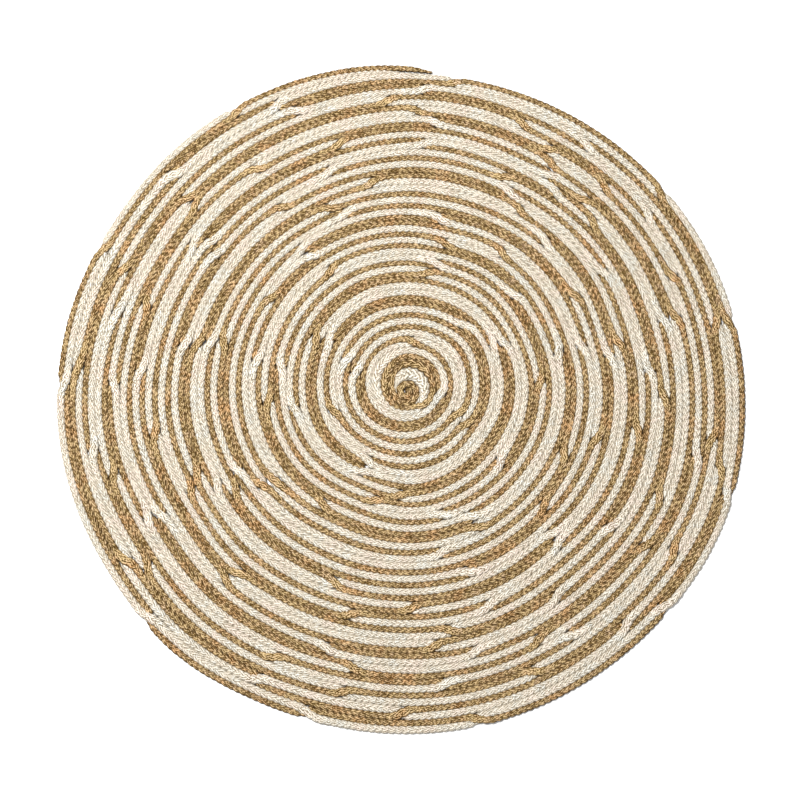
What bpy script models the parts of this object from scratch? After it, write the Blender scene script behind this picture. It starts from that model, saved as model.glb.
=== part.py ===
"""Round flat rug: a jute braid and a cotton braid, wound together in one flat coil and sewn edge to edge.

Each braid is one solid strip with a sloped-sided section, so that every course stands up as a rib.
A place along the coil is given in turns: 0 lies on the first full course of the pair, and the coil
grows clockwise. In the outermost course the two braids change places, one running over the other.
"""
from math import cos, exp, floor, hypot, pi, radians, sin

import bmesh
import bpy

# Driving sizes, in metres. The rug measures 1.2 m across.
COURSE_PITCH = 0.02125      # from one turn of the pair to the next
JUTE_WIDTH = 0.011          # the jute alone, in the little disc in the middle
BRAID_THICK = 0.009
SEAM_GAP = 0.0004           # between neighbouring courses
SHOULDER = 0.2              # share of the width that each side slopes in by

# The coil, in turns and metres: the disc of jute first, then the pair around a shifted middle.
JUTE_START = -2.3
START_RADIUS = 0.0056
CORE_HOLE = 0.0008
CORE_RAMP = 0.25            # turns over which the first turn leaves the hole
COTTON_START = -0.29
COTTON_TIP = 0.18           # turns over which the cotton braid widens from its point
COTTON_POINT = -0.265       # where it is first wider than the sewing gaps, so its solid starts here
PAIR_RADIUS = 0.0445        # outer radius of the pair at turn 0
DISC_SHIFT = (-0.0012, -0.0129)
COIL_END = 26.0
COTTON_END = 25.983
END_TAPER = 0.07            # turns over which the cotton braid runs out
END_LOSS = 0.45             # share of the pair's width that is lost with it
END_ANGLE = radians(85.3)   # direction in which the coil ends, seen from above
COTTON_SHARE = 0.5          # of the pair's width
FIRST_SHARE = 0.62          # and in the wider first course
FIRST_COURSE = (0.2, 0.6)   # turns between which that share falls back

# The uneven outline, which fades in from the middle outwards.
OVAL = 0.0096               # wider than high
LOW_SHIFT = -0.0287         # the rim's middle lies below the coil's
SIDE_SHIFT = -0.0045
RIM_LOBES = (               # height in metres, then middle and spread in degrees
    (0.007, 335, 11), (0.005, 190, 14), (-0.005, 150, 9), (0.009, 229, 8), (0.005, 282, 20), (0.004, 97, 8),
)
LOBE_FADE = 8               # power with which the bumps grow towards the rim

# Where courses were pulled out or in as they were sewn: how far in metres, then the middle and
# spread in degrees, then the middle and spread in turns.
PULLS = (
    (0.0040, 155, 25, 0.2, 0.9), (-0.0022, 290, 40, 1.6, 0.9), (0.0055, 33, 16, 4.0, 1.3),
    (-0.0042, 324, 12, 5.0, 1.6), (0.0045, 276, 10, 6.8, 1.4), (-0.0065, 243, 12, 9.8, 2.6),
    (-0.0040, 24, 11, 9.5, 2.2), (-0.0045, 15, 8, 15.5, 3.5), (-0.0038, 74, 9, 11.0, 2.2),
    (0.0040, 84, 9, 20.0, 4.0), (-0.0045, 122, 12, 17.0, 3.5), (-0.0055, 152, 12, 19.0, 5.0),
    (0.0048, 187, 10, 21.0, 5.0), (-0.0038, 211, 8, 22.0, 4.0), (0.0052, 337, 10, 20.5, 4.5),
    (0.0030, 283, 9, 20.0, 3.0), (-0.0030, 309, 8, 16.5, 2.5), (-0.0025, 255, 7, 23.0, 2.0),
)
PULL_ALL = -0.0014          # the courses between the first and the last lie a little further in
PULLED_FROM = (0.8, 2.0)    # turns over which that sets in
PULLED_TO = (23.8, 25.0)    # and turns over which all of this fades out towards the rim

# Where the two braids change places: the whole number of turns, then directions in degrees.
# The braid from outside runs over the other; at a minus sign the one from inside does.
CROSSINGS = {
    24: (-115,),
    25: (-82, 37, -11, -341, 319, 281, 253, -222, 180, 156, -122),
}
CROSSING_LENGTH = 0.046
CROSSING_RAMP = 0.35        # share of that length in which a braid rises or sinks
CROSSING_RISE = 0.0012      # how far the upper braid stands above the rug there
RIM_NOTCH = 0.25            # share of the pair's width by which the rim draws in there

ROUNDING = 1e-6             # allowed for in comparing places along a crossing

# Sides of the many-sided coil, by turn.
INNER_SIDES = 16
MIDDLE_SIDES = 32
RIM_SIDES = 64
MIDDLE_FROM = 4
RIM_FROM = 24

COLOURS = {
    "jute": (0.41, 0.26, 0.11, 1.0),
    "cotton": (0.78, 0.70, 0.55, 1.0),
}


def direction(turn):
    """Angle of a place on the coil, counter-clockwise from +X."""
    return END_ANGLE - 2.0 * pi * turn


def blend(low, high, value):
    """Smooth step from 0 at low to 1 at high."""
    share = min(max((value - low) / (high - low), 0.0), 1.0)
    return share * share * (3.0 - 2.0 * share)


def between(start, end, share):
    """Point at a share of the way between two plan points."""
    return tuple(a + (b - a) * share for a, b in zip(start, end))


def lobe(angle, height, middle, spread):
    """A smooth bump of the rim around a direction, its middle and spread in degrees."""
    away = (angle - radians(middle) + pi) % (2.0 * pi) - pi
    return height * exp(-0.5 * (away / radians(spread)) ** 2)


def ending(turn):
    """0 along the coil, rising to 1 at its very end."""
    return max(1.0 - (COIL_END - turn) / END_TAPER, 0.0)


def outer_point(turn):
    """Plan position of the coil's outer edge."""
    angle = direction(turn)
    paired = blend(COTTON_START, 0.0, turn)
    alone = START_RADIUS + JUTE_WIDTH * (turn - JUTE_START)
    radius = alone + (PAIR_RADIUS + COURSE_PITCH * turn - alone) * paired
    outwards = max(turn, 0.0) / COIL_END
    radius += outwards * OVAL * cos(2.0 * angle)
    radius += outwards ** 2 * (LOW_SHIFT * sin(angle) + SIDE_SHIFT * cos(angle))
    radius += outwards ** LOBE_FADE * sum(lobe(angle, *bump) for bump in RIM_LOBES)
    pulled = PULL_ALL * blend(*PULLED_FROM, turn)
    for height, middle, spread, course, depth in PULLS:
        pulled += lobe(angle, height, middle, spread) * exp(-0.5 * ((turn - course) / depth) ** 2)
    radius += pulled * (1.0 - blend(*PULLED_TO, turn))
    radius -= END_LOSS * COURSE_PITCH * ending(turn)
    shift_x, shift_y = DISC_SHIFT
    return (radius * cos(angle) + shift_x * (1.0 - paired),
            radius * sin(angle) + shift_y * (1.0 - paired))


def sides_at(turn):
    """How many sides the coil has at a place."""
    if turn < MIDDLE_FROM:
        return INNER_SIDES
    return RIM_SIDES if turn >= RIM_FROM else MIDDLE_SIDES


def edge_point(turn):
    """The outer edge as drawn, straight between the corners of the many-sided coil."""
    sides = sides_at(turn)
    corner = floor(turn * sides)
    start, end = max(corner / sides, JUTE_START), (corner + 1) / sides
    return between(outer_point(start), outer_point(end), (turn - start) / (end - start))


def inner_point(turn):
    """The inner edge: the course before it, or the small hole in the middle of the disc."""
    if turn >= JUTE_START + 1.0:
        return edge_point(turn - 1.0)
    leaving = max((turn - JUTE_START - 1.0) / CORE_RAMP + 1.0, 0.0)
    radius = CORE_HOLE + (START_RADIUS - CORE_HOLE) * leaving
    angle = direction(turn)
    return (DISC_SHIFT[0] + radius * cos(angle), DISC_SHIFT[1] + radius * sin(angle))


def crossing_places():
    """(turn, length in turns, whether the braid from inside runs over) of every change of places."""
    places = []
    for course, directions in CROSSINGS.items():
        for degrees in directions:
            turn = course + ((END_ANGLE - radians(abs(degrees))) / (2.0 * pi)) % 1.0
            length = CROSSING_LENGTH / (2.0 * pi * hypot(*outer_point(turn)))
            places.append((turn, length, degrees < 0))
    return places


def stations(first, last, crossings):
    """Places of the cross-sections of a braid, shared by both braids."""
    turns = {first, last}
    for index in range(floor(first * RIM_SIDES), floor(last * RIM_SIDES) + 1):
        turn = index / RIM_SIDES
        if first < turn < last and index % (RIM_SIDES // sides_at(turn)) == 0:
            turns.add(turn)
    for middle, length, _ in crossings:
        for share in (-0.5 - CROSSING_RAMP, -0.5, 0.0, 0.5, 0.5 + CROSSING_RAMP):
            turns.add(middle + share * length)
    return sorted(turns)


def seam(turn, jute_outside):
    """Where the pair is divided, as a share of its width from the inside."""
    cotton = COTTON_SHARE + (FIRST_SHARE - COTTON_SHARE) * (1.0 - blend(*FIRST_COURSE, turn))
    cotton *= min(max((turn - COTTON_START) / COTTON_TIP, 0.0), 1.0)
    lost = END_LOSS * ending(turn)
    cotton = (cotton - lost) / (1.0 - lost)
    return cotton if jute_outside else 1.0 - cotton


def section(kind, turn, crossings):
    """Low and high edge as shares of the pair's width, then the bottom and top height."""
    swaps = sum(1 for place, length, _ in crossings if turn > place + 0.5 * length)
    jute_outside = swaps % 2 == 0
    outside = jute_outside == (kind == "jute")
    middle = seam(turn, jute_outside)
    low, high = (middle, 1.0) if outside else (0.0, middle)
    bottom, top = 0.0, BRAID_THICK
    for place, length, from_inside in crossings:
        along = (turn - place) / length + 0.5
        if not -CROSSING_RAMP - ROUNDING <= along <= 1.0 + CROSSING_RAMP + ROUNDING:
            continue
        ramps = (along + CROSSING_RAMP) / CROSSING_RAMP, (1.0 + CROSSING_RAMP - along) / CROSSING_RAMP
        apart = max(min(*ramps, 1.0), 0.0)
        early = min(max(2.0 * along, 0.0), 1.0)
        late = min(max(2.0 * along - 1.0, 0.0), 1.0)
        starts_outside = outside if along <= 1.0 + ROUNDING else not outside
        if starts_outside != from_inside:       # it runs over the other one
            bottom = apart * 0.5 * (BRAID_THICK + SEAM_GAP)
            top = BRAID_THICK + apart * CROSSING_RISE
        else:
            top = BRAID_THICK - apart * 0.5 * (BRAID_THICK + SEAM_GAP)
        if starts_outside:
            low, high = middle * (1.0 - early), 1.0 - (1.0 - middle) * late
        else:
            low, high = middle * late, middle + (1.0 - middle) * early
        if place > COIL_END - 1.0:
            high = min(high, 1.0 - RIM_NOTCH * min(early, 1.0 - late))
    return low, high, bottom, top


def corners(kind, turn, crossings):
    """The four corners of a cross-section, with a little sewing gap on each side."""
    low, high, bottom, top = section(kind, turn, crossings)
    inner, outer = inner_point(turn), edge_point(turn)
    width = hypot(outer[0] - inner[0], outer[1] - inner[1])
    low += 0.5 * SEAM_GAP / width
    high -= 0.5 * SEAM_GAP / width
    slope = SHOULDER * (high - low)
    outline = ((low, bottom), (high, bottom), (high - slope, top), (low + slope, top))
    return [(*between(inner, outer, share), height) for share, height in outline]


def braid(kind, first, last, crossings):
    """One braid as a closed solid, a row of cross-sections joined by flat strips."""
    mesh = bmesh.new()
    rows = [[mesh.verts.new(corner) for corner in corners(kind, turn, crossings)]
            for turn in stations(first, last, crossings) if first <= turn <= last]
    for row, following in zip(rows, rows[1:]):
        for a in range(4):
            b = (a + 1) % 4
            mesh.faces.new((row[a], row[b], following[b], following[a]))
    mesh.faces.new(rows[0][::-1])
    mesh.faces.new(rows[-1])
    bmesh.ops.recalc_face_normals(mesh, faces=mesh.faces)
    data = bpy.data.meshes.new(kind + "_braid")
    mesh.to_mesh(data)
    mesh.free()
    return data


def material(name):
    """A plain matt material for a slot."""
    made = bpy.data.materials.new(name)
    made.use_nodes = True
    shader = made.node_tree.nodes["Principled BSDF"]
    shader.inputs["Base Color"].default_value = COLOURS[name]
    shader.inputs["Roughness"].default_value = 0.9
    return made


for startup_object in list(bpy.data.objects):
    bpy.data.objects.remove(startup_object)
rug = bpy.data.collections.new("round_rug")
bpy.context.scene.collection.children.link(rug)

places = crossing_places()
braids = {
    "jute": braid("jute", JUTE_START, COIL_END, places),
    "cotton": braid("cotton", COTTON_POINT, COTTON_END, places),
}

# The rug is centred on the middle of its outline.
points = [vertex.co for data in braids.values() for vertex in data.vertices]
middle_x = 0.5 * (min(p.x for p in points) + max(p.x for p in points))
middle_y = 0.5 * (min(p.y for p in points) + max(p.y for p in points))
for name, data in braids.items():
    for vertex in data.vertices:
        vertex.co.x -= middle_x
        vertex.co.y -= middle_y
    data.materials.append(material(name))
    rug.objects.link(bpy.data.objects.new(name + "_braid", data))
print("coil middle at", round(-middle_x, 4), round(-middle_y, 4))
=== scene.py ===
"""Round flat rug of jute and cotton plaits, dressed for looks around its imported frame."""
from bisect import bisect
from math import cos, exp, pi, radians, sin

import bpy
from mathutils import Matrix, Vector, noise


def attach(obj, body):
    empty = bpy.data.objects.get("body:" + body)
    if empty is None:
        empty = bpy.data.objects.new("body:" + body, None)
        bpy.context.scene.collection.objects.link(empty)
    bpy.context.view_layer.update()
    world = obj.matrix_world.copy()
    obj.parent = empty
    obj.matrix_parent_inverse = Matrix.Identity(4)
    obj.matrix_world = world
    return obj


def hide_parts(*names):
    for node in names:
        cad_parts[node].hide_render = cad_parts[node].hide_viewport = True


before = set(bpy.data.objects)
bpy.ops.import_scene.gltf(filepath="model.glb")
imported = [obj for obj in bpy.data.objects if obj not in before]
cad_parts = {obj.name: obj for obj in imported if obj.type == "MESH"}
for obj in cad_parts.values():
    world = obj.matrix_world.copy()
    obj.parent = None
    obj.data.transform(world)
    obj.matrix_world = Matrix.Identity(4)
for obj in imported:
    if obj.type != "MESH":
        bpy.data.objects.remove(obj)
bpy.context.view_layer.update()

# The jute plait: three strands of raw jute, each a few soft yarns laid side by side, plaited flat.
# It starts alone as a little disc in the middle and then runs beside the cotton plait to the rim,
# sewn edge to edge. The two change places often, and now one and now the other runs over.

# The coil, in turns of the pair and metres, seen from above; it grows clockwise.
COIL_MIDDLE = (0.0109, 0.0268)
COURSE_PITCH = 0.02125
JUTE_WIDTH = 0.011
JUTE_START = -2.3
START_RADIUS = 0.0056       # of the jute alone, where its disc begins
CORE_HOLE = 0.0008
CORE_RAMP = 0.25            # turns over which the first turn leaves the hole
COTTON_START = -0.29
COTTON_TIP = 0.18           # turns over which the cotton plait widens from its point
PAIR_RADIUS = 0.0445        # outer radius of the pair at turn 0
DISC_SHIFT = (-0.0012, -0.0129)
COIL_END = 26.0
END_TAPER = 0.07            # turns over which the cotton plait runs out
END_LOSS = 0.45             # share of the pair's width that is lost with it
END_ANGLE = radians(85.3)   # direction in which the coil ends, seen from above
COTTON_SHARE = 0.55         # of the pair's width
FIRST_SHARE = 0.62          # and in the wider first course
FIRST_COURSE = (0.2, 0.6)   # turns between which that share falls back
OVAL = 0.0096               # wider than high
LOW_SHIFT = -0.0287         # the rim's middle lies below the coil's
SIDE_SHIFT = -0.0045
RIM_LOBES = (               # height in metres, then middle and spread in degrees
    (0.007, 335, 11), (0.005, 190, 14), (-0.005, 150, 9), (0.009, 229, 8), (0.005, 282, 20), (0.004, 97, 8),
)
LOBE_FADE = 8               # power with which the bumps grow towards the rim
# Where courses were pulled out or in as they were sewn: metres, then the middle and spread in
# degrees, then the middle and spread in turns.
PULLS = (
    (0.0040, 155, 25, 0.2, 0.9), (-0.0022, 290, 40, 1.6, 0.9), (0.0055, 33, 16, 4.0, 1.3),
    (-0.0042, 324, 12, 5.0, 1.6), (0.0045, 276, 10, 6.8, 1.4), (-0.0065, 243, 12, 9.8, 2.6),
    (-0.0040, 24, 11, 9.5, 2.2), (-0.0045, 15, 8, 15.5, 3.5), (-0.0038, 74, 9, 11.0, 2.2),
    (0.0040, 84, 9, 20.0, 4.0), (-0.0045, 122, 12, 17.0, 3.5), (-0.0055, 152, 12, 19.0, 5.0),
    (0.0048, 187, 10, 21.0, 5.0), (-0.0038, 211, 8, 22.0, 4.0), (0.0052, 337, 10, 20.5, 4.5),
    (0.0030, 283, 9, 20.0, 3.0), (-0.0030, 309, 8, 16.5, 2.5), (-0.0025, 255, 7, 23.0, 2.0),
    (0.0026, 207, 13, 5.5, 2.8), (0.0022, 113, 10, 7.0, 1.8), (-0.0020, 78, 12, 12.0, 2.5),
    (-0.0020, 322, 18, 11.5, 2.2), (0.0022, 188, 9, 18.0, 2.5), (-0.0022, 58, 8, 19.5, 4.0),
    (-0.0022, 140, 22, 22.5, 1.8), (0.0018, 90, 8, 18.5, 2.0), (-0.0018, 255, 10, 9.0, 1.5),
    (0.0026, 225, 6, 17.5, 1.2), (-0.0022, 315, 7, 16.0, 1.5),
)
PULL_ALL = -0.0014          # the courses between the first and the last ones lie a little further in
PULLED_FROM = (0.8, 2.0)    # turns between which that sets in
PULLED_TO = (23.8, 25.0)    # and the turns between which all of this fades out to the rim

# Where the plaits change places, in degrees around the coil, one row for each course. The plait
# from outside runs over the other; at a minus sign the one from inside does.
CROSSINGS = (
    (305,), (345,), (83, 168), (330, 158), (325, -200),
    (-46, 243, -150), (25, -243, -153), (-22, -266, -192), (-80, -320, -254, -172),
    (76, 1, 285, 187, -124), (-39, 296, 235, 171), (75, 12, 296, -216, 148, 127),
    (54, -336, -281, -215, -128), (79, -12, -318, -207, -167, -110),
    (-28, 344, 288, 212, 168, 114), (46, -8, 314, 250, 208, 169, -100),
    (57, -11, -313, -271, 203, 170, 125), (62, -30, -349, -290, -256, 206, 146, -110),
    (-65, -3, 325, 280, -228, 191, 144, -86), (52, 41, -357, -305, -276, 227, 177, -147, -106),
    (-56, -46, -14, -336, -284, 253, -208, -163, 125),
    (84, 57, -14, 326, -297, 259, 207, -180, -140, 88),
    (-59, 45, -22, -346, 303, -277, -244, 197, 166, 140, -94),
    (66, 35, 350, -328, 294, -258, 215, 192, 158, 112, -87),
    (53, 11, -345, -312, -269, -243, -212, 177, 138, -115),
    (-81, 37, -11, -341, 319, 282, 253, -222, 180, 156, -122),
)
CROSSING_LENGTH = 0.046     # metres of the coil that a crossing takes
SLOW_CROSSINGS = {(24, 177): 1.8, (22, 166): 2.0, (11, 216): 2.0}     # how many times as long
CROSSING_RAMP = 0.35        # share of that length in which a plait rises or sinks
RIM_NOTCH = 0.25            # share of the pair's width by which the rim draws in at a crossing
RIM_TRIM = 0.05             # share of the pair's width by which the last course keeps inside the rim

# One plait, in metres.
THICKNESS = 0.0092
CROSSING_RISE = 0.0008      # how far the upper plait stands above the rug
CROSSING_SINK = 0.0018      # how far the lower one is pressed down
RAISED_PAINTED_SHADE_LIFT = 0.14       # how much higher a raised plait counts for the painted shade, so that it is painted less dark
PERIOD = 0.034              # over which a strand comes back to the same edge
POINTS_A_PERIOD = 9
TUBE_SIDES = 6
STRAND_SHARE = 0.275        # half a strand's width, as a share of the plait's
HEIGHT_SHARE = 0.20         # how far a strand swings up and down, as a share of the plait's width
SQUEEZE = 0.0016            # how far the edges press into their neighbours
COVER_EDGE = 0.10           # share of the pair's width over which a covered plait dips
START_LENGTH = 0.012        # over which a plait widens at its start
END_LENGTH = 0.045          # and over which it narrows at its end
END_FULLNESS = 0.4          # share of its width that it has at the very ends
TOP_LIMIT = 1.05            # how high a strand may stand, as a share of the plait's height
LOOK_AHEAD = 0.0005         # turns over which the coil's length is measured

# How uneven the hand work is: by what share, and how many times a metre.
UNEVEN_WIDTH = (0.03, 20.0)
UNEVEN_STRAND = (0.12, 45.0)
UNEVEN_PLAIT = (0.9, 8.0)   # in radians of the plait's rhythm

# Shares of a crossing over which the upper and the lower plait leave their lane and take the other.
UPPER_LEAVES, UPPER_ARRIVES = (0.0, 0.85), (0.15, 1.0)
LOWER_LEAVES, LOWER_ARRIVES = (0.1, 0.7), (0.3, 0.9)
TRIM_FROM = 1.02            # turns before the end where the last course begins to keep inside the rim


def blend(low, high, value):
    """Smooth step from 0 at low to 1 at high."""
    share = min(max((value - low) / (high - low), 0.0), 1.0)
    return share * share * (3.0 - 2.0 * share)


def ending(turn):
    """0 along the coil, rising to 1 at its very end."""
    return max(1.0 - (COIL_END - turn) / END_TAPER, 0.0)


def outer_point(turn):
    """The outer edge of the pair."""
    angle = END_ANGLE - 2.0 * pi * turn
    paired = blend(COTTON_START, 0.0, turn)
    alone = START_RADIUS + JUTE_WIDTH * (turn - JUTE_START)
    radius = alone + (PAIR_RADIUS + COURSE_PITCH * turn - alone) * paired
    outwards = max(turn, 0.0) / COIL_END
    radius += outwards * OVAL * cos(2.0 * angle)
    radius += outwards ** 2 * (LOW_SHIFT * sin(angle) + SIDE_SHIFT * cos(angle))
    for height, middle, spread in RIM_LOBES:
        away = (angle - radians(middle) + pi) % (2.0 * pi) - pi
        radius += outwards ** LOBE_FADE * height * exp(-0.5 * (away / radians(spread)) ** 2)
    pulled = PULL_ALL * blend(*PULLED_FROM, turn)
    for height, middle, spread, course, depth in PULLS:
        away = (angle - radians(middle) + pi) % (2.0 * pi) - pi
        pulled += height * exp(-0.5 * (away / radians(spread)) ** 2 - 0.5 * ((turn - course) / depth) ** 2)
    radius += pulled * (1.0 - blend(*PULLED_TO, turn))
    radius -= END_LOSS * COURSE_PITCH * ending(turn)
    return Vector((
        COIL_MIDDLE[0] + radius * cos(angle) + DISC_SHIFT[0] * (1.0 - paired),
        COIL_MIDDLE[1] + radius * sin(angle) + DISC_SHIFT[1] * (1.0 - paired),
        0.0,
    ))


def inner_point(turn):
    """The inner edge: the course before it, or the small hole in the middle of the disc."""
    if turn >= JUTE_START + 1.0:
        return outer_point(turn - 1.0)
    leaving = max((turn - JUTE_START - 1.0) / CORE_RAMP + 1.0, 0.0)
    radius = CORE_HOLE + (START_RADIUS - CORE_HOLE) * leaving
    angle = END_ANGLE - 2.0 * pi * turn
    return Vector((
        COIL_MIDDLE[0] + DISC_SHIFT[0] + radius * cos(angle),
        COIL_MIDDLE[1] + DISC_SHIFT[1] + radius * sin(angle),
        0.0,
    ))


changes = []
for course, directions in enumerate(CROSSINGS):
    for degrees in directions:
        place = course + ((END_ANGLE - radians(abs(degrees))) / (2.0 * pi)) % 1.0
        around = 2.0 * pi * (PAIR_RADIUS + COURSE_PITCH * place)
        length = CROSSING_LENGTH * SLOW_CROSSINGS.get((course, abs(degrees)), 1.0)
        changes.append((place, length / around, degrees > 0))
changes.sort()
change_ends = [place + 0.5 * length for place, length, _ in changes]


def seam(turn, jute_outside):
    """Where the pair is divided, as a share of its width from the inside."""
    cotton = COTTON_SHARE + (FIRST_SHARE - COTTON_SHARE) * (1.0 - blend(*FIRST_COURSE, turn))
    cotton *= min(max((turn - COTTON_START) / COTTON_TIP, 0.0), 1.0)
    lost = END_LOSS * ending(turn)
    cotton = (cotton - lost) / (1.0 - lost)
    return cotton if jute_outside else 1.0 - cotton


def lane(kind, turn):
    """Where a plait lies in the pair at a turn, as shares of the pair's width from the inside.

    Gives its low and high edge, the same for a plait that runs over it there, how far it is raised
    itself, and how far it has been turned over, in radians.
    """
    done = bisect(change_ends, turn)
    jute_outside = done % 2 == 0
    outside = jute_outside == (kind == "jute")
    middle = seam(turn, jute_outside)
    low, high = (middle, 1.0) if outside else (0.0, middle)
    cover, raised, twist = (2.0, 2.0), 0.0, pi * done
    for index in (done - 1, done):
        if not 0 <= index < len(changes):
            continue
        place, length, outer_over = changes[index]
        along = (turn - place) / length + 0.5
        if not -CROSSING_RAMP < along < 1.0 + CROSSING_RAMP:
            continue
        starts_outside = outside if index == done else not outside
        over = starts_outside == outer_over
        if over:
            raised = blend(-CROSSING_RAMP, 0.0, along) * (1.0 - blend(1.0, 1.0 + CROSSING_RAMP, along))
        if index < done:
            if not over:
                cover = (0.0, middle) if outside else (middle, 1.0)
            continue
        twist += pi * blend(0.0, 1.0, along)
        middle += (seam(turn, not jute_outside) - middle) * blend(0.0, 1.0, along)
        early, late = blend(*UPPER_LEAVES, along), blend(*UPPER_ARRIVES, along)
        if outer_over:
            upper = (middle * (1.0 - early), 1.0 - (1.0 - middle) * late)
        else:
            upper = (middle * late, middle + (1.0 - middle) * early)
        if over:
            low, high = upper
        else:
            cover = upper
            early, late = blend(*LOWER_LEAVES, along), blend(*LOWER_ARRIVES, along)
            if starts_outside:
                low, high = middle * (1.0 - early), 1.0 - (1.0 - middle) * late
            else:
                low, high = middle * late, middle + (1.0 - middle) * early
        if place > COIL_END - 1.0:
            high = min(high, 1.0 - RIM_NOTCH * (1.0 - abs(2.0 * along - 1.0)))
    high = min(high, 1.0 - RIM_TRIM * blend(COIL_END - TRIM_FROM, COIL_END - 1.0, turn))
    return low, high, cover, raised, twist


def plait(kind, first, last):
    """The three strands of one plait, as tubes pressed to its height."""
    sections = []
    turn, run = first, 0.0
    step = PERIOD / POINTS_A_PERIOD
    while turn < last:
        inner, outer = inner_point(turn), outer_point(turn)
        low, high, cover, raised, twist = lane(kind, turn)
        sections.append((run, inner, outer - inner, low, high, cover, raised, twist))
        ahead = turn + LOOK_AHEAD
        inner_ahead, outer_ahead = inner_point(ahead), outer_point(ahead)
        travel = (inner_ahead + outer_ahead - inner - outer).length * 0.5
        turn += LOOK_AHEAD * step / max(travel, 1e-6)
        run += step
    strands = []
    for number in range(3):
        curve = bpy.data.curves.new("strand", "CURVE")
        curve.dimensions = "3D"
        curve.twist_mode = "Z_UP"
        curve.bevel_depth = 1.0
        curve.bevel_resolution = 1
        curve.use_fill_caps = True
        spline = curve.splines.new("POLY")
        spline.points.add(len(sections) - 1)
        naturals = []
        for point, (along, inner, across, low, high, cover, raised, twist) in zip(spline.points, sections):
            full = blend(0.0, START_LENGTH, along) * blend(0.0, END_LENGTH, run - along)
            fullness = END_FULLNESS + (1.0 - END_FULLNESS) * full
            width = (across.length * (high - low) + 2.0 * SQUEEZE) * fullness
            share, often = UNEVEN_WIDTH
            width *= 1.0 + share * noise.noise(Vector((along * often, 3.0, 0.0)))
            share, often = UNEVEN_STRAND
            loose = noise.noise(Vector((along * often, number * 7.0, 5.0)))
            radius = STRAND_SHARE * width * (1.0 + share * loose)
            phase = 2.0 * pi * (along / PERIOD + number / 3.0)
            share, often = UNEVEN_PLAIT
            phase += share * noise.noise(Vector((along * often, 9.0, 0.0)))
            swing, rise = (0.5 - STRAND_SHARE) * sin(phase), -HEIGHT_SHARE * sin(2.0 * phase) * cos(twist)
            middle = inner + across * (low + 0.5 * (high - low) * fullness)
            place = middle + across.normalized() * (width * swing)
            point.co = (*place.xy, width * rise, 1.0)
            point.radius = radius
            naturals.append(width * (HEIGHT_SHARE * abs(cos(twist)) + STRAND_SHARE))
        tube = bpy.data.objects.new("strand", curve)
        bpy.context.scene.collection.objects.link(tube)
        graph = bpy.context.evaluated_depsgraph_get()
        mesh = bpy.data.meshes.new_from_object(tube.evaluated_get(graph))
        bpy.data.objects.remove(tube)
        # Painted shade: each point's height in its plait, from which the material paints the low parts
        # between and beside the strands darker; a raised plait counts higher, so it is painted less dark.
        painted_shade_height = mesh.attributes.new("painted_shade_height", "FLOAT", "POINT")
        for vertex in mesh.vertices:
            index = min(vertex.index // TUBE_SIDES, len(sections) - 1)
            along, inner, across, low, high, cover, raised, twist = sections[index]
            share = (vertex.co.xy - inner.xy).dot(across.xy) / across.length_squared
            covered = blend(cover[0] - COVER_EDGE, cover[0] + COVER_EDGE, share)
            covered *= 1.0 - blend(cover[1] - COVER_EDGE, cover[1] + COVER_EDGE, share)
            bottom = 0.5 * THICKNESS * raised
            top = THICKNESS + CROSSING_RISE * raised - CROSSING_SINK * covered
            height = min(0.5 + 0.5 * vertex.co.z / naturals[index], TOP_LIMIT)
            painted_shade_height.data[vertex.index].value = height + RAISED_PAINTED_SHADE_LIFT * raised
            vertex.co.z = max(bottom + (top - bottom) * height, 0.0)
        for polygon in mesh.polygons:
            polygon.use_smooth = True
        strand = bpy.data.objects.new(f"{kind}_strand_{number + 1}", mesh)
        bpy.context.scene.collection.objects.link(strand)
        strands.append(strand)
    return strands


def add(tree, kind, at, **inputs):
    """A shader node of a kind with its plain inputs set."""
    node = tree.nodes.new(kind)
    node.location = at
    for name, value in inputs.items():
        node.inputs[name.replace("_", " ")].default_value = value
    return node


def ramp(tree, at, stops):
    """A colour ramp through the given places and colours."""
    node = tree.nodes.new("ShaderNodeValToRGB")
    node.location = at
    elements = node.color_ramp.elements
    for _ in range(len(stops) - 2):
        elements.new(0.5)
    for element, (place, colour) in zip(elements, stops):
        element.position = place
        element.color = (*colour, 1.0)
    return node


YARN_TURNS = 800.0          # how often the yarns wind round a strand from end to end
WAVE_UNIT = 0.6283          # makes one band of the wave texture one yarn
# The yarn lines' weight also sets how strongly they paint shade into the grooves between yarns and a
# highlight onto their tops, besides the bump.
FIBRE_WEIGHT, CLUMP_WEIGHT, YARN_WEIGHT = 0.6, 0.2, 0.2
CLUMP_SIZE = 0.28           # how many times as often as the fibres
PAINTED_SHADE_FULL_AT, PAINTED_SHADE_GONE_AT = 0.58, 0.98      # heights in a plait where the painted shade is fullest and where it is gone


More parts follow.
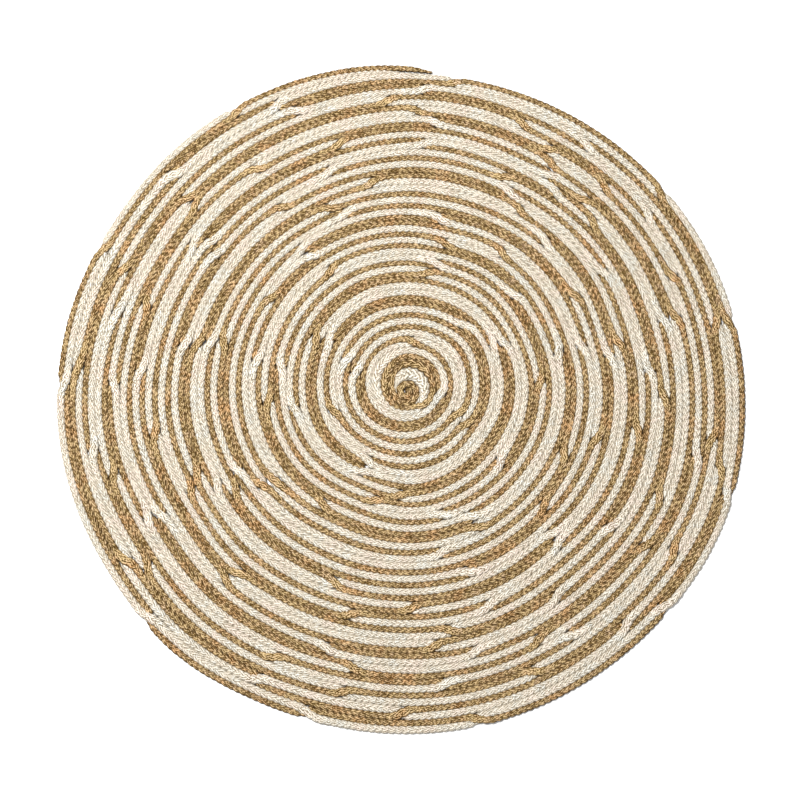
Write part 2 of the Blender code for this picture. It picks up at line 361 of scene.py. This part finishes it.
def yarn_material(name, grain_and_yarn_shade_tones, painted_shade_colour, patch_tones, yarns, grain, roughness, bump):
    """Matt yarn: parallel yarns along the strand, grainy fibres, slow patches, and painted shade low in the
    plait; the yarn lines also paint shade into their grooves and a highlight onto their tops.
    """
    material = bpy.data.materials.new(name)
    material.use_nodes = True
    tree = material.node_tree
    link = tree.links.new
    shader = tree.nodes["Principled BSDF"]
    shader.inputs["Roughness"].default_value = roughness
    shader.inputs["Specular IOR Level"].default_value = 0.08
    place = add(tree, "ShaderNodeTexCoord", (-1600, 0))
    fibres = add(tree, "ShaderNodeTexNoise", (-1200, 300), Scale=grain, Detail=1.5, Roughness=0.6)
    link(place.outputs["Object"], fibres.inputs["Vector"])
    clumps = add(tree, "ShaderNodeTexNoise", (-1200, 0), Scale=grain * CLUMP_SIZE, Detail=2.0, Roughness=0.6)
    link(place.outputs["Object"], clumps.inputs["Vector"])
    lines = add(tree, "ShaderNodeMapping", (-1400, -300))
    lines.inputs["Scale"].default_value = (WAVE_UNIT * YARN_TURNS, WAVE_UNIT * yarns, 0.0)
    link(place.outputs["UV"], lines.inputs["Vector"])
    wave = add(tree, "ShaderNodeTexWave", (-1200, -300), Scale=1.0, Distortion=1.5, Detail=2.0)
    wave.inputs["Detail Scale"].default_value = 1.5
    wave.bands_direction = "DIAGONAL"
    link(lines.outputs["Vector"], wave.inputs["Vector"])
    mixed = add(tree, "ShaderNodeMath", (-950, 200))
    mixed.operation = "MULTIPLY_ADD"
    mixed.inputs[1].default_value = FIBRE_WEIGHT
    link(fibres.outputs["Fac"], mixed.inputs[0])
    third = add(tree, "ShaderNodeMath", (-950, 0))
    third.operation = "MULTIPLY_ADD"
    third.inputs[1].default_value = CLUMP_WEIGHT
    link(clumps.outputs["Fac"], third.inputs[0])
    soft = add(tree, "ShaderNodeMath", (-950, -200))
    soft.operation = "MULTIPLY"
    soft.inputs[1].default_value = YARN_WEIGHT
    link(wave.outputs["Fac"], soft.inputs[0])
    link(soft.outputs[0], third.inputs[2])
    link(third.outputs[0], mixed.inputs[2])
    # Fibre grain colours; the yarn lines' share is painted shade in the grooves between yarns and painted
    # highlight on their tops.
    colours = ramp(tree, (-700, 200), grain_and_yarn_shade_tones)
    link(mixed.outputs[0], colours.inputs[0])
    patches = add(tree, "ShaderNodeTexNoise", (-950, -450), Scale=26.0, Detail=3.0, Roughness=0.75)
    link(place.outputs["Object"], patches.inputs["Vector"])
    patch_colours = ramp(tree, (-700, -450), patch_tones)
    link(patches.outputs["Fac"], patch_colours.inputs[0])
    tinted = add(tree, "ShaderNodeMix", (-400, 100))
    tinted.data_type = "RGBA"
    tinted.blend_type = "MULTIPLY"
    tinted.inputs[0].default_value = 1.0
    link(colours.outputs[0], tinted.inputs[6])
    link(patch_colours.outputs[0], tinted.inputs[7])
    # Painted shade: the colour darkens towards the dark shade colour where the strand lies low in its plait,
    # between and beside the other strands.
    painted_shade_height = tree.nodes.new("ShaderNodeAttribute")
    painted_shade_height.location = (-950, -700)
    painted_shade_height.attribute_name = "painted_shade_height"
    depth = add(tree, "ShaderNodeMapRange", (-700, -700))
    depth.inputs["From Min"].default_value = PAINTED_SHADE_FULL_AT
    depth.inputs["From Max"].default_value = PAINTED_SHADE_GONE_AT
    depth.interpolation_type = "SMOOTHSTEP"
    link(painted_shade_height.outputs["Fac"], depth.inputs["Value"])
    shaded = add(tree, "ShaderNodeMix", (-200, 100))
    shaded.data_type = "RGBA"
    link(depth.outputs[0], shaded.inputs[0])
    shaded.inputs[6].default_value = (*painted_shade_colour, 1.0)
    link(tinted.outputs[2], shaded.inputs[7])
    link(shaded.outputs[2], shader.inputs["Base Color"])
    relief = add(tree, "ShaderNodeBump", (-200, -300), Strength=bump, Distance=0.0008)
    link(mixed.outputs[0], relief.inputs["Height"])
    link(relief.outputs[0], shader.inputs["Normal"])
    return material


jute = yarn_material(
    "jute_yarn",
    # fibre grain tones; the yarn lines' share of them is painted shade in the grooves and painted highlight
    # on the yarn tops
    grain_and_yarn_shade_tones=((0.40, (0.045, 0.022, 0.003)), (0.49, (0.235, 0.14, 0.046)), (0.58, (0.65, 0.465, 0.275))),
    # painted shade: the dark colour that the jute is painted where it lies low in its plait
    painted_shade_colour=(0.085, 0.046, 0.014),
    patch_tones=(
        (0.34, (1.05, 0.91, 0.78)), (0.46, (0.98, 0.98, 0.95)), (0.56, (0.91, 0.94, 0.82)),
        (0.68, (1.02, 1.04, 1.14)),
    ),
    yarns=7.0, grain=320.0, roughness=0.85, bump=0.8,
)
for strand in plait("jute", JUTE_START, COIL_END):
    strand.data.materials.append(jute)
    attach(strand, "root")
    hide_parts("jute_braid")

# The cotton plait: three soft strands of undyed cotton yarn, plaited flat like the jute one.
# It starts with a blunt point against the jute disc and ends just before the jute does.
COTTON_END = 25.983

cotton = yarn_material(
    "cotton_yarn",
    # fibre grain tones; the yarn lines' share of them is painted shade in the grooves and painted highlight
    # on the yarn tops
    grain_and_yarn_shade_tones=((0.42, (0.165, 0.13, 0.085)), (0.485, (0.54, 0.475, 0.38)), (0.55, (0.76, 0.715, 0.65))),
    # painted shade: the greyer colour that the cotton is painted where it lies low in its plait
    painted_shade_colour=(0.44, 0.385, 0.30),
    patch_tones=((0.36, (1.03, 0.96, 0.93)), (0.5, (1.0, 0.98, 0.92)), (0.64, (0.95, 1.0, 1.02))),
    yarns=7.0, grain=480.0, roughness=0.9, bump=0.6,
)
for strand in plait("cotton", COTTON_START, COTTON_END):
    strand.data.materials.append(cotton)
    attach(strand, "root")
    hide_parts("cotton_braid")

# The plain pale floor that the rug lies on, with a soft light from the top of the picture and an
# even white surround.
FLOOR_SIZE = 40.0
LIGHT_PLACE = (-1.0, 1.1, 3.4)
LIGHT_SIZE = 0.8
LIGHT_POWER = 195.0
SURROUND = 0.5

bpy.ops.mesh.primitive_plane_add(size=FLOOR_SIZE)
floor = bpy.context.object
floor.name = "floor"
paint = bpy.data.materials.new("pale_floor")
paint.use_nodes = True
paint.node_tree.nodes["Principled BSDF"].inputs["Base Color"].default_value = (0.95, 0.95, 0.95, 1.0)
paint.node_tree.nodes["Principled BSDF"].inputs["Roughness"].default_value = 0.9
floor.data.materials.append(paint)

world = bpy.data.worlds.new("surround")
world.use_nodes = True
world.node_tree.nodes["Background"].inputs["Color"].default_value = (1.0, 1.0, 1.0, 1.0)
world.node_tree.nodes["Background"].inputs["Strength"].default_value = SURROUND
bpy.context.scene.world = world

lamp = bpy.data.lights.new("soft_light", "AREA")
lamp.shape = "SQUARE"
lamp.size = LIGHT_SIZE
lamp.energy = LIGHT_POWER
soft_light = bpy.data.objects.new("soft_light", lamp)
soft_light.location = LIGHT_PLACE
soft_light.rotation_euler = (-Vector(LIGHT_PLACE)).to_track_quat("-Z", "Y").to_euler()
bpy.context.scene.collection.objects.link(soft_light)

# The camera looks straight down, as in the photograph.
CAMERA_HEIGHT = 3.3
FRAME_WIDTH = 1.3913        # what it sees across, at the height of the rug's edge
EDGE_HEIGHT = 0.005
CAMERA_SHIFT = (-0.0021, -0.0002)

lens = bpy.data.cameras.new("camera")
lens.sensor_fit = "HORIZONTAL"
lens.lens = lens.sensor_width * (CAMERA_HEIGHT - EDGE_HEIGHT) / FRAME_WIDTH
camera = bpy.data.objects.new("camera", lens)
camera.location = (*CAMERA_SHIFT, CAMERA_HEIGHT)
bpy.context.scene.collection.objects.link(camera)
bpy.context.scene.camera = camera
bpy.context.scene.view_settings.view_transform = "Standard"
